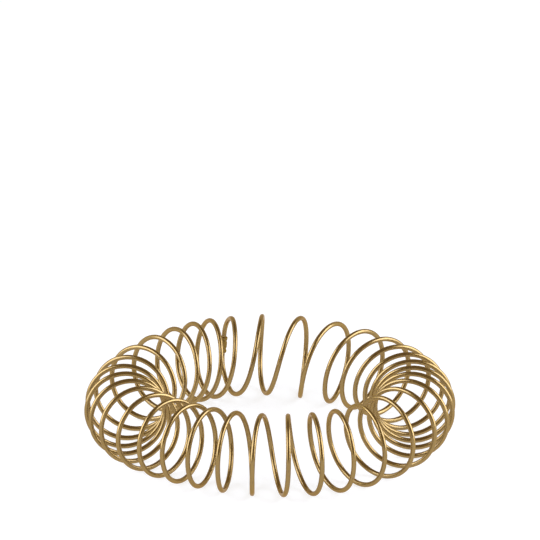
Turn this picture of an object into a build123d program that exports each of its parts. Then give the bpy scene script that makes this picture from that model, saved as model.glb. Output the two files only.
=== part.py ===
from build123d import *

import math
import os

# The brass wire, and the coil that it is wound into, measured over the wire's outside.
wire_diameter = 1.8
coil_width = 30.6
coil_height = 30.6
turns = 34

# The round wire is drawn as a polygon with this many sides and the round section's area.
wire_sides = 5

# Each turn that touches the table has a flat of this depth.
standing_flat = 0.5

# The coil is bent into a ring, measured from its centre to the middle of the coil.
ring_radius = 55.0
front_angle = -85.4

# The ring lies a little out of round: lobes, swing as a share of its radius, heading in degrees.
ring_wave_shares = ((2, 0.050, -78), (3, 0.013, -34), (4, 0.020, 12))

# The turns bunch and spread: lobes, swing as a share of one turn's angle, heading in degrees.
gap_wave_shares = (
    (1, 0.250, -121),
    (2, 0.070, 50),
    (3, 0.245, 55),
    (4, 0.225, -11),
    (5, 0.050, -36),
    (6, 0.100, 6),
)

# The tops lean back against the winding, more on one side of the ring, in degrees.
lean_angle = 2.0
lean_swing = 1.0
lean_heading = 45

# The crimp sleeve that the wire's two ends meet in, on the outside of a turn at the back.
sleeve_length = 6.0
sleeve_wall = 0.5
sleeve_clearance = 0.04
sleeve_chamfer = 0.2
end_gap = 0.2
straight_lead = 0.4
crimp_count = 2
crimp_width = 1.3
crimp_depth = 0.2

# The ends meet at the back, halfway up the outside of a turn, counted in turns from the front.
seam_turn = 0.25 - turns // 2

full_turn = 360
steps_per_turn = 4
samples_per_arc = 6
slope_step = 0.0001

wire_radius = wire_diameter / 2
corner_angle = 2 * math.pi / wire_sides
corner_radius = wire_radius * math.sqrt(corner_angle / math.sin(corner_angle))
coil_radius = (coil_width - wire_diameter) / 2
coil_rise = (coil_height - wire_diameter + standing_flat) / 2
lowest_middle = wire_radius - standing_flat
straight_half = sleeve_length / 2 + straight_lead


def wave_sum(wave_shares, angle):
    return sum(
        share * math.cos(math.radians(lobes * (angle - heading)))
        for lobes, share, heading in wave_shares
    )


def ring_angle(turn):
    even_angle = full_turn * turn / turns
    return front_angle + even_angle + full_turn / turns * wave_sum(gap_wave_shares, even_angle)


# The middle of the wire, counted in turns from the front. A whole turn is at the bottom,
# and the wire climbs the outside, comes over the top and goes down the inside.
def coil_point(turn):
    round_ring = ring_angle(turn)
    round_coil = math.radians(full_turn * turn) - math.pi / 2
    middle = ring_radius * (1 + wave_sum(ring_wave_shares, round_ring))
    reach = middle + coil_radius * math.cos(round_coil)
    lean = lean_angle + lean_swing * math.cos(math.radians(round_ring - lean_heading))
    heading = math.radians(round_ring - lean * math.sin(round_coil))
    height = lowest_middle + coil_rise * (1 + math.sin(round_coil))
    return Vector(reach * math.cos(heading), reach * math.sin(heading), height)


def coil_way(turn):
    return (coil_point(turn + slope_step) - coil_point(turn - slope_step)).normalized()


# Two arcs that leave and arrive along the given ways and meet smoothly between.
def biarc(start, start_way, end, end_way):
    chord = end - start
    ways = start_way + end_way
    spread = 2 * (1 - start_way.dot(end_way))
    along = chord.dot(ways)
    reach = (math.sqrt(along**2 + spread * chord.dot(chord)) - along) / spread
    start_arm = start + start_way * reach
    end_arm = end - end_way * reach
    joint = (start_arm + end_arm) / 2
    first = TangentArc(start, joint, tangent=start_way)
    second = TangentArc(joint, end, tangent=end_arm - start_arm)
    return [first, second]


def wire_path():
    seam = coil_point(seam_turn)
    seam_way = coil_way(seam_turn)
    first_end = seam + seam_way * (end_gap / 2)
    last_end = seam - seam_way * (end_gap / 2)
    first_bend = seam + seam_way * straight_half
    last_bend = seam - seam_way * straight_half
    edges = [Line(first_end, first_bend)]
    point = first_bend
    way = seam_way
    for step in range(1, turns * steps_per_turn):
        turn = seam_turn + step / steps_per_turn
        next_point = coil_point(turn)
        next_way = coil_way(turn)
        edges += biarc(point, way, next_point, next_way)
        point = next_point
        way = next_way
    edges += biarc(point, way, last_bend, seam_way)
    edges.append(Line(last_bend, last_end))
    return edges


def make_coil_wire(edges):
    start = edges[0] @ 0
    section = Plane(origin=start, z_dir=edges[0] % 0) * RegularPolygon(corner_radius, wire_sides)
    wire = sweep(sections=section, path=Wire(edges), clean=False)
    return split(wire, Plane.XY, keep=Keep.TOP)


# One side of the sleeve's outline, with its pressed grooves, turned round the wire that it holds.
def make_joining_sleeve():
    bore = corner_radius + sleeve_clearance
    skin = bore + sleeve_wall
    half = sleeve_length / 2
    groove = skin - crimp_depth
    outline = [(bore, -half), (skin - sleeve_chamfer, -half), (skin, sleeve_chamfer - half)]
    for index in range(crimp_count):
        middle = (index - (crimp_count - 1) / 2) * sleeve_length / crimp_count
        outline.append((skin, middle - crimp_width / 2))
        outline.append((groove, middle - crimp_width / 2 + crimp_depth))
        outline.append((groove, middle + crimp_width / 2 - crimp_depth))
        outline.append((skin, middle + crimp_width / 2))
    outline += [(skin, half - sleeve_chamfer), (skin - sleeve_chamfer, half), (bore, half)]
    profile = make_face(Plane.XZ * Polyline(*outline, close=True))
    sleeve = revolve(profile, Axis.Z)
    return Plane(origin=coil_point(seam_turn), z_dir=coil_way(seam_turn)) * sleeve


def path_points(edges):
    return [edge @ (index / samples_per_arc) for edge in edges for index in range(samples_per_arc)]


# The least distance between strands that are at least half a turn apart, less the wire.
def least_gap(edges):
    places = [(point.X, point.Y, point.Z) for point in path_points(edges)]
    apart = steps_per_turn * samples_per_arc
    count = len(places)
    least = math.inf
    for first in range(count):
        for second in range(first + apart, min(first + count - apart, count)):
            least = min(least, math.dist(places[first], places[second]))
    return least - 2 * corner_radius


edges = wire_path()
coil_wire = make_coil_wire(edges)
joining_sleeve = make_joining_sleeve()

os.makedirs("parts", exist_ok=True)
export_step(coil_wire, "parts/coil_wire.step")
export_step(joining_sleeve, "parts/joining_sleeve.step")

wire_length = sum(edge.length for edge in edges)
clear_radius = min(math.hypot(point.X, point.Y) for point in path_points(edges)) - corner_radius
volume_share = coil_wire.volume / (math.pi * wire_radius**2 * wire_length)
rest = coil_point(0)
print("wire length", round(wire_length, 1), "mm")
print("least gap between turns", round(least_gap(edges), 2), "mm")
print("volume over section times length", round(volume_share, 4))
print("clear radius round the origin", round(clear_radius, 2), "mm")
print("resting flat at the front", round(rest.X, 2), round(rest.Y, 2))
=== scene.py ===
import math

import bmesh
import bpy
from mathutils import Matrix, Vector


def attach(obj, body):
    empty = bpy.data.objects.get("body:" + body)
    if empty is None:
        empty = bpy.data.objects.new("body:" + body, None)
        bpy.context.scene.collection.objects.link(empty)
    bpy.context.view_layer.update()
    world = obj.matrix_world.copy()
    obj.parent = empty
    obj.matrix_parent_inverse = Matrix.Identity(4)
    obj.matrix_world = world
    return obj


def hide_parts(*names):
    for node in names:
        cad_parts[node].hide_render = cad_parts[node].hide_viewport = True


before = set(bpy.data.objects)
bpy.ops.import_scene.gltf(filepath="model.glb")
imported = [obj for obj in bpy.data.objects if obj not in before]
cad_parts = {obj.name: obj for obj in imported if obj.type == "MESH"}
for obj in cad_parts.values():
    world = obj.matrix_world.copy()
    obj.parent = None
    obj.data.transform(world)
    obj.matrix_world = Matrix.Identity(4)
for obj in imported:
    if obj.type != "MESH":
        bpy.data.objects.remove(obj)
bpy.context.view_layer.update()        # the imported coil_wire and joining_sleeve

mm = 0.001
mergeDistance = 0.001 * mm

# The wire and the coil that it is wound into, over the wire's outside.
coil = {
    "wireRadius": 0.9 * mm,
    "width": 30.6 * mm,
    "height": 30.6 * mm,
    "turns": 34,
    "ringRadius": 55.0 * mm,
    "frontAngle": -85.4,
    "ringWaveShares": ((2, 0.050, -78), (3, 0.013, -34), (4, 0.020, 12)),  # lobes, swing, heading
    "gapWaveShares": (
        (1, 0.250, -121),
        (2, 0.070, 50),
        (3, 0.245, 55),
        (4, 0.225, -11),
        (5, 0.050, -36),
        (6, 0.100, 6),
    ),
    "leanAngle": 2.0,
    "leanSwing": 1.0,
    "leanHeading": 45,
    "pointsPerTurn": 8,
    "quarterHandleShare": 0.39,  # of the chord, for the bends beside the sleeve
    "slopeStep": 0.0001,  # in turns
    "stepsPerPoint": 12,
    "sides": 20,
}

# The crimp sleeve over the wire's two ends, at the back of the ring.
sleeve = {
    "length": 6.0 * mm,
    "bore": 0.93 * mm,
    "skin": 1.42 * mm,
    "rimRound": 0.14 * mm,
    "rimSegments": 4,
    "endGap": 0.2 * mm,
    "straightLead": 0.4 * mm,
    "turnFromBottom": 0.25,
    "crimpCount": 2,
    "crimpWidth": 1.5 * mm,
    "crimpDepth": 0.26 * mm,
    "crimpBulge": 0.12 * mm,
    "lengthCuts": 47,
    "sides": 48,
}


# A socket of a material, with sums written as plain Python.
class Value:
    def __init__(self, finish, socket):
        self.finish = finish
        self.socket = socket

    def other(self, output):
        return Value(self.finish, self.socket.node.outputs[output])

    def join(self, operation, first, second):
        return self.finish.node("ShaderNodeMath", {"operation": operation}, {0: first, 1: second})

    def __add__(self, other):
        return self.join("ADD", self, other)

    def __radd__(self, other):
        return self.join("ADD", other, self)

    def __sub__(self, other):
        return self.join("SUBTRACT", self, other)

    def __rsub__(self, other):
        return self.join("SUBTRACT", other, self)

    def __mul__(self, other):
        return self.join("MULTIPLY", self, other)

    def __rmul__(self, other):
        return self.join("MULTIPLY", other, self)


class Finish:
    def __init__(self, name):
        self.material = bpy.data.materials.new(name)
        self.material.use_nodes = True
        self.tree = self.material.node_tree
        self.tree.nodes.clear()

    def node(self, kind, settings=None, inputs=None, output=0):
        made = self.tree.nodes.new(kind)
        for name, setting in (settings or {}).items():
            if name == "stops":
                self.setStops(made.color_ramp.elements, setting)
            else:
                setattr(made, name, setting)
        for name, value in (inputs or {}).items():
            if isinstance(value, Value):
                self.tree.links.new(value.socket, made.inputs[name])
            else:
                made.inputs[name].default_value = value
        return Value(self, made.outputs[output])

    def setStops(self, elements, stops):
        while len(elements) < len(stops):
            elements.new(1)
        for element, (place, level) in zip(elements, stops):
            element.position = place
            element.color = (level, level, level, 1)

    def show(self, surface):
        end = self.tree.nodes.new("ShaderNodeOutputMaterial")
        self.tree.links.new(surface.socket, end.inputs["Surface"])
        return self.material


def waveSum(waveShares, angle):
    return sum(
        share * math.cos(math.radians(lobes * (angle - heading)))
        for lobes, share, heading in waveShares
    )


def ringAngle(turn):
    evenAngle = 360 * turn / coil["turns"]
    bunching = waveSum(coil["gapWaveShares"], evenAngle)
    return coil["frontAngle"] + evenAngle + 360 / coil["turns"] * bunching


# The middle of the wire, counted in turns from the front, where a whole turn is at the bottom.
def coilPoint(turn):
    roundRing = ringAngle(turn)
    roundCoil = math.radians(360 * turn) - math.pi / 2
    across = coil["width"] / 2 - coil["wireRadius"]
    rise = coil["height"] / 2 - coil["wireRadius"]
    middle = coil["ringRadius"] * (1 + waveSum(coil["ringWaveShares"], roundRing))
    reach = middle + across * math.cos(roundCoil)
    swing = math.cos(math.radians(roundRing - coil["leanHeading"]))
    lean = coil["leanAngle"] + coil["leanSwing"] * swing
    heading = math.radians(roundRing - lean * math.sin(roundCoil))
    height = coil["wireRadius"] + rise * (1 + math.sin(roundCoil))
    return Vector((reach * math.cos(heading), reach * math.sin(heading), height))


def coilSlope(turn):
    small = coil["slopeStep"]
    return (coilPoint(turn + small) - coilPoint(turn - small)) / (2 * small)


def seamPlace():
    turn = sleeve["turnFromBottom"] - coil["turns"] // 2
    return turn, coilPoint(turn), coilSlope(turn).normalized()


# Satin brass under a clear lacquer, with the fine lines that the drawing die leaves along the wire.
wireBrass = {
    "lightTone": (0.328, 0.206, 0.052, 1),
    "deepTone": (0.272, 0.168, 0.041, 1),
    "nickTone": (0.170, 0.100, 0.035, 1),
    "driftPerMetre": 30,
    "driftRound": 0.3,
    "driftLow": 0.35,
    "driftHigh": 0.65,
    "linesPerMetre": 60,
    "linesRound": 7,
    "linesDetail": 4.0,
    "lineDarkness": 0.25,
    "nickPerMetre": 800,
    "nickRound": 3.0,
    "nickStart": 0.74,
    "nickFull": 0.78,
    "roughness": 0.25,
    "lineRoughness": 0.10,
    "lineDepth": 0.004 * mm,
    "edgeTint": (0.70, 0.51, 0.27, 1),  # keeps the brass warm where it is seen at a slant
    "coatWeight": 0.28,
    "coatIor": 2.2,
    "coatRoughness": 0.12,
}


def makeWireFinish(length):
    look = wireBrass
    finish = Finish("satinDrawnBrass")
    alongAndRound = finish.node("ShaderNodeSeparateXYZ", inputs={
        "Vector": finish.node("ShaderNodeUVMap", {"uv_map": "UVMap"}),
    })
    along = alongAndRound * length
    angle = alongAndRound.other("Y") * math.tau
    cosine = finish.node("ShaderNodeMath", {"operation": "COSINE"}, {0: angle})
    sine = finish.node("ShaderNodeMath", {"operation": "SINE"}, {0: angle})

    def noise(perMetre, roundScale, detail):
        place = finish.node("ShaderNodeCombineXYZ", inputs={
            "X": along * perMetre, "Y": cosine * roundScale, "Z": sine * roundScale,
        })
        return finish.node("ShaderNodeTexNoise", inputs={
            "Vector": place, "Scale": 1.0, "Detail": detail,
        })

    drift = finish.node("ShaderNodeMapRange", inputs={
        "Value": noise(look["driftPerMetre"], look["driftRound"], 2.0),
        "From Min": look["driftLow"],
        "From Max": look["driftHigh"],
    })
    lines = noise(look["linesPerMetre"], look["linesRound"], look["linesDetail"])
    nickStops = ((look["nickStart"], 0), (look["nickFull"], 1))
    nicks = finish.node("ShaderNodeValToRGB", {"stops": nickStops}, {
        "Fac": noise(look["nickPerMetre"], look["nickRound"], 0.0),
    })
    tone = finish.node("ShaderNodeMix", {"data_type": "RGBA"}, {
        "Factor": drift * (1 - look["lineDarkness"]) + lines * look["lineDarkness"],
        6: look["deepTone"], 7: look["lightTone"],
    }, output=2)
    nicked = finish.node("ShaderNodeMix", {"data_type": "RGBA"}, {
        "Factor": nicks, 6: tone, 7: look["nickTone"],
    }, output=2)
    bump = finish.node("ShaderNodeBump", inputs={
        "Strength": 1.0, "Distance": look["lineDepth"], "Height": lines - nicks,
    })
    return finish.show(finish.node("ShaderNodeBsdfPrincipled", inputs={
        "Base Color": nicked,
        "Metallic": 1.0,
        "Roughness": look["roughness"] + (lines - 0.5) * look["lineRoughness"],
        "Specular Tint": look["edgeTint"],
        "Coat Weight": look["coatWeight"],
        "Coat IOR": look["coatIor"],
        "Coat Roughness": look["coatRoughness"],
        "Normal": bump,
    }))


# The sleeve is the same brass, a little duller where the crimping tool has rubbed it.
sleeveBrass = {
    "lightTone": (0.325, 0.212, 0.060, 1),
    "deepTone": (0.240, 0.152, 0.041, 1),
    "edgeTint": (0.70, 0.51, 0.27, 1),
    "grainScale": 2500,
    "roughness": 0.34,
    "grainRoughness": 0.12,
    "grainDepth": 0.006 * mm,
}


def makeSleeveFinish():
    look = sleeveBrass
    finish = Finish("pressedBrass")
    grain = finish.node("ShaderNodeTexNoise", inputs={
        "Vector": finish.node("ShaderNodeTexCoord", output="Object"),
        "Scale": look["grainScale"],
        "Detail": 3.0,
    })
    tone = finish.node("ShaderNodeMix", {"data_type": "RGBA"}, {
        "Factor": grain, 6: look["deepTone"], 7: look["lightTone"],
    }, output=2)
    bump = finish.node("ShaderNodeBump", inputs={
        "Strength": 1.0, "Distance": look["grainDepth"], "Height": grain,
    })
    return finish.show(finish.node("ShaderNodeBsdfPrincipled", inputs={
        "Base Color": tone,
        "Metallic": 1.0,
        "Roughness": look["roughness"] + (grain - 0.5) * look["grainRoughness"],
        "Specular Tint": look["edgeTint"],
        "Normal": bump,
    }))


# The wire as one bevelled Bezier curve: straight inside the sleeve, then round every turn.
def makeCoilWire():
    seamTurn, seam, seamWay = seamPlace()
    gap = seamWay * (sleeve["endGap"] / 2)
    straight = seamWay * (sleeve["length"] / 2 + sleeve["straightLead"])
    step = 1 / coil["pointsPerTurn"]
    count = coil["turns"] * coil["pointsPerTurn"]
    stations = [(seam + gap, straight / 3, straight / 3), (seam + straight, straight / 3, None)]
    for index in range(2, count - 1):
        turn = seamTurn + index * step
        handle = coilSlope(turn) * (step / 3)
        stations.append((coilPoint(turn), handle, handle))
    stations += [(seam - straight, None, straight / 3), (seam - gap, straight / 3, straight / 3)]
    # the two free handles each start a quarter bend
    for bend, neighbour, side in ((1, 2, 2), (-2, -3, 1)):
        chord = (stations[neighbour][0] - stations[bend][0]).length
        handles = list(stations[bend])
        handles[side] = seamWay * chord * coil["quarterHandleShare"]
        stations[bend] = tuple(handles)
    curve = bpy.data.curves.new("coilWire", "CURVE")
    curve.dimensions = "3D"
    curve.resolution_u = coil["stepsPerPoint"]
    curve.bevel_depth = coil["wireRadius"]
    curve.bevel_resolution = coil["sides"] // 2 - 2
    curve.use_fill_caps = True
    spline = curve.splines.new("BEZIER")
    spline.bezier_points.add(len(stations) - 1)
    for point, (place, before, after) in zip(spline.bezier_points, stations):
        point.handle_left_type = "FREE"
        point.handle_right_type = "FREE"
        point.co = place
        point.handle_left = place - before
        point.handle_right = place + after
    route = bpy.data.objects.new("coilRoute", curve)
    bpy.context.collection.objects.link(route)
    wire = bmesh.new()
    wire.from_mesh(bpy.data.meshes.new_from_object(route))
    bpy.data.objects.remove(route)
    bmesh.ops.remove_doubles(wire, verts=wire.verts, dist=mergeDistance)  # joins the end caps
    return addPiece("coilWire", wire, makeWireFinish(spline.calc_length()), "coil_wire")


def addPiece(name, shape, material, node):
    mesh = bpy.data.meshes.new(name)
    for face in shape.faces:
        face.smooth = True
    shape.to_mesh(mesh)
    shape.free()
    piece = bpy.data.objects.new(name, mesh)
    bpy.context.collection.objects.link(piece)
    mesh.materials.append(material)
    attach(piece, "root")
    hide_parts(node)
    print(name, len(mesh.polygons), "faces")
    return piece


# A tube wall spun round Z, with two crimps pressed flat from two sides.
def makeJoiningSleeve():
    half = sleeve["length"] / 2
    wall = bmesh.new()
    bore = sleeve["bore"]
    skin = sleeve["skin"]
    corners = [(bore, -half), (skin, -half), (skin, half), (bore, half)]
    ring = [wall.verts.new((across, 0, along)) for across, along in corners]
    for index in range(len(ring)):
        wall.edges.new((ring[index - 1], ring[index]))
    bmesh.ops.bevel(
        wall, geom=ring[1:3], affect="VERTICES", offset=sleeve["rimRound"],
        segments=sleeve["rimSegments"], profile=0.5, material=-1,
    )
    longOnes = [edge for edge in wall.edges if edge.calc_length() > half]
    bmesh.ops.subdivide_edges(wall, edges=longOnes, cuts=sleeve["lengthCuts"])
    bmesh.ops.spin(
        wall, geom=wall.verts[:] + wall.edges[:], cent=(0, 0, 0), axis=(0, 0, 1), dvec=(0, 0, 0),
        angle=math.tau, steps=sleeve["sides"], use_merge=True,
    )
    bmesh.ops.remove_doubles(wall, verts=wall.verts, dist=mergeDistance)
    bmesh.ops.recalc_face_normals(wall, faces=wall.faces)
    pitch = sleeve["length"] / sleeve["crimpCount"]
    for vert in wall.verts:
        across = vert.co.xy.length
        if across < (bore + skin) / 2:
            continue
        for index in range(sleeve["crimpCount"]):
            middle = (index - (sleeve["crimpCount"] - 1) / 2) * pitch
            away = abs(vert.co.z - middle) / (sleeve["crimpWidth"] / 2)
            if away < 1:
                press = (1 + math.cos(math.pi * away)) / 2
                sideways = (vert.co.x / across) ** 2
                change = sleeve["crimpBulge"] * (1 - sideways) - sleeve["crimpDepth"] * sideways
                vert.co.xy *= 1 + press * change / across
    _, seam, seamWay = seamPlace()
    turned = seamWay.to_track_quat("Z", "X").to_matrix().to_4x4()
    bmesh.ops.transform(wall, matrix=Matrix.Translation(seam) @ turned, verts=wall.verts)
    return addPiece("joiningSleeve", wall, makeSleeveFinish(), "joining_sleeve")


# A pale round floor whose rim curves up far out. The camera and the metal see it glow white.
floor = {
    "radius": 4.5,
    "rimHeight": 0.35,
    "rimSteps": 6,
    "sides": 96,
    "colour": (0.35, 0.35, 0.35, 1),
    "glow": 0.76,
    "backdropHeight": 4.0,
    "backdropSpread": 140,
}


def makeFloor(finish):
    shape = bmesh.new()
    turnUp = floor["radius"] - floor["rimHeight"]
    start = shape.verts.new((turnUp, 0, 0))
    shape.edges.new((shape.verts.new((0, 0, 0)), start))
    bmesh.ops.spin(
        shape, geom=[start], cent=(turnUp, 0, floor["rimHeight"]), axis=(0, -1, 0), dvec=(0, 0, 0),
        angle=math.pi / 2, steps=floor["rimSteps"],
    )
    bmesh.ops.spin(
        shape, geom=shape.verts[:] + shape.edges[:], cent=(0, 0, 0), axis=(0, 0, 1), dvec=(0, 0, 0),
        angle=math.tau, steps=floor["sides"], use_merge=True,
    )
    bmesh.ops.remove_doubles(shape, verts=shape.verts, dist=mm)
    bmesh.ops.recalc_face_normals(shape, faces=shape.faces)
    addStage("paleFloor", shape, finish)


# The backdrop goes on from the floor's rim, round the back.
def makeBackdrop(finish):
    shape = bmesh.new()
    heading = math.radians(90 - floor["backdropSpread"] / 2)
    place = Vector((math.cos(heading), math.sin(heading), 0)) * floor["radius"]
    foot = shape.verts.new(place + Vector((0, 0, floor["rimHeight"])))
    head = shape.verts.new(place + Vector((0, 0, floor["backdropHeight"])))
    shape.edges.new((foot, head))
    bmesh.ops.spin(
        shape, geom=shape.verts[:] + shape.edges[:], cent=(0, 0, 0), axis=(0, 0, 1), dvec=(0, 0, 0),
        angle=math.radians(floor["backdropSpread"]), steps=floor["sides"] // 2,
    )
    addStage("paleBackdrop", shape, finish)


def addStage(name, shape, finish):
    mesh = bpy.data.meshes.new(name)
    shape.to_mesh(mesh)
    shape.free()
    mesh.shade_smooth()
    mesh.materials.append(finish)
    piece = bpy.data.objects.new(name, mesh)
    bpy.context.collection.objects.link(piece)


def makeFloorFinish():
    finish = Finish("paleFloor")
    ray = finish.node("ShaderNodeLightPath", output="Is Camera Ray")
    seen = ray + ray.other("Is Glossy Ray") + ray.other("Is Transmission Ray")
    paint = finish.node("ShaderNodeBsdfDiffuse", inputs={"Color": floor["colour"]})
    glow = finish.node("ShaderNodeEmission", inputs={"Strength": seen * floor["glow"]})
    return finish.show(finish.node("ShaderNodeAddShader", inputs={0: paint, 1: glow}))


# Two large softboxes stand left and right of the ring. Headings are from the camera's side.
softboxes = (
    {"name": "leftSoftbox", "heading": -78, "level": 3.8},
    {"name": "rightSoftbox", "heading": 84, "level": 4.3},
)
softboxPlace = {
    "rise": 25,
    "distance": 1.2,
    "width": 1.2,
    "height": 1.1,
    "tint": (0.91, 1.0, 1.22),
}


def addSoftbox(box):
    lamp = bpy.data.lights.new(box["name"], "AREA")
    lamp.shape = "RECTANGLE"
    lamp.color = softboxPlace["tint"]
    lamp.size = softboxPlace["width"]
    lamp.size_y = softboxPlace["height"]
    lamp.energy = box["level"] * math.pi * lamp.size * lamp.size_y
    piece = bpy.data.objects.new(box["name"], lamp)
    heading = math.radians(box["heading"] - 90)
    rise = math.radians(softboxPlace["rise"])
    level = Vector((math.cos(heading), math.sin(heading), 0)) * math.cos(rise)
    way = level + Vector((0, 0, math.sin(rise)))
    piece.location = way * softboxPlace["distance"]
    piece.rotation_euler = way.to_track_quat("Z", "Y").to_euler()
    piece.visible_camera = False
    bpy.context.collection.objects.link(piece)


# The unlit room is dim and a little warm.
room = {"colour": (1.0, 0.82, 0.60, 1), "level": 0.33}


def setStudio():
    for box in softboxes:
        addSoftbox(box)
    scene = bpy.context.scene
    scene.world = bpy.data.worlds.new("dimRoom")
    scene.world.use_nodes = True
    background = scene.world.node_tree.nodes["Background"]
    background.inputs["Color"].default_value = room["colour"]
    background.inputs["Strength"].default_value = room["level"]
    scene.view_settings.view_transform = "Standard"


# The camera looks down at the ring from afar, as the photograph does.
view = {
    "place": (-0.00012, -3.29721, 1.12281),
    "tilt": 72.2531,
    "lens": 627.98,
    "farthest": 12,
}


def addCamera():
    lens = bpy.data.cameras.new("camera")
    lens.lens = view["lens"]
    lens.clip_end = view["farthest"]
    piece = bpy.data.objects.new("camera", lens)
    piece.location = view["place"]
    piece.rotation_euler = (math.radians(view["tilt"]), 0, 0)
    bpy.context.collection.objects.link(piece)
    bpy.context.scene.camera = piece


makeCoilWire()
makeJoiningSleeve()
print("ring made")
floorFinish = makeFloorFinish()
makeFloor(floorFinish)
makeBackdrop(floorFinish)
setStudio()
addCamera()
print("studio set")
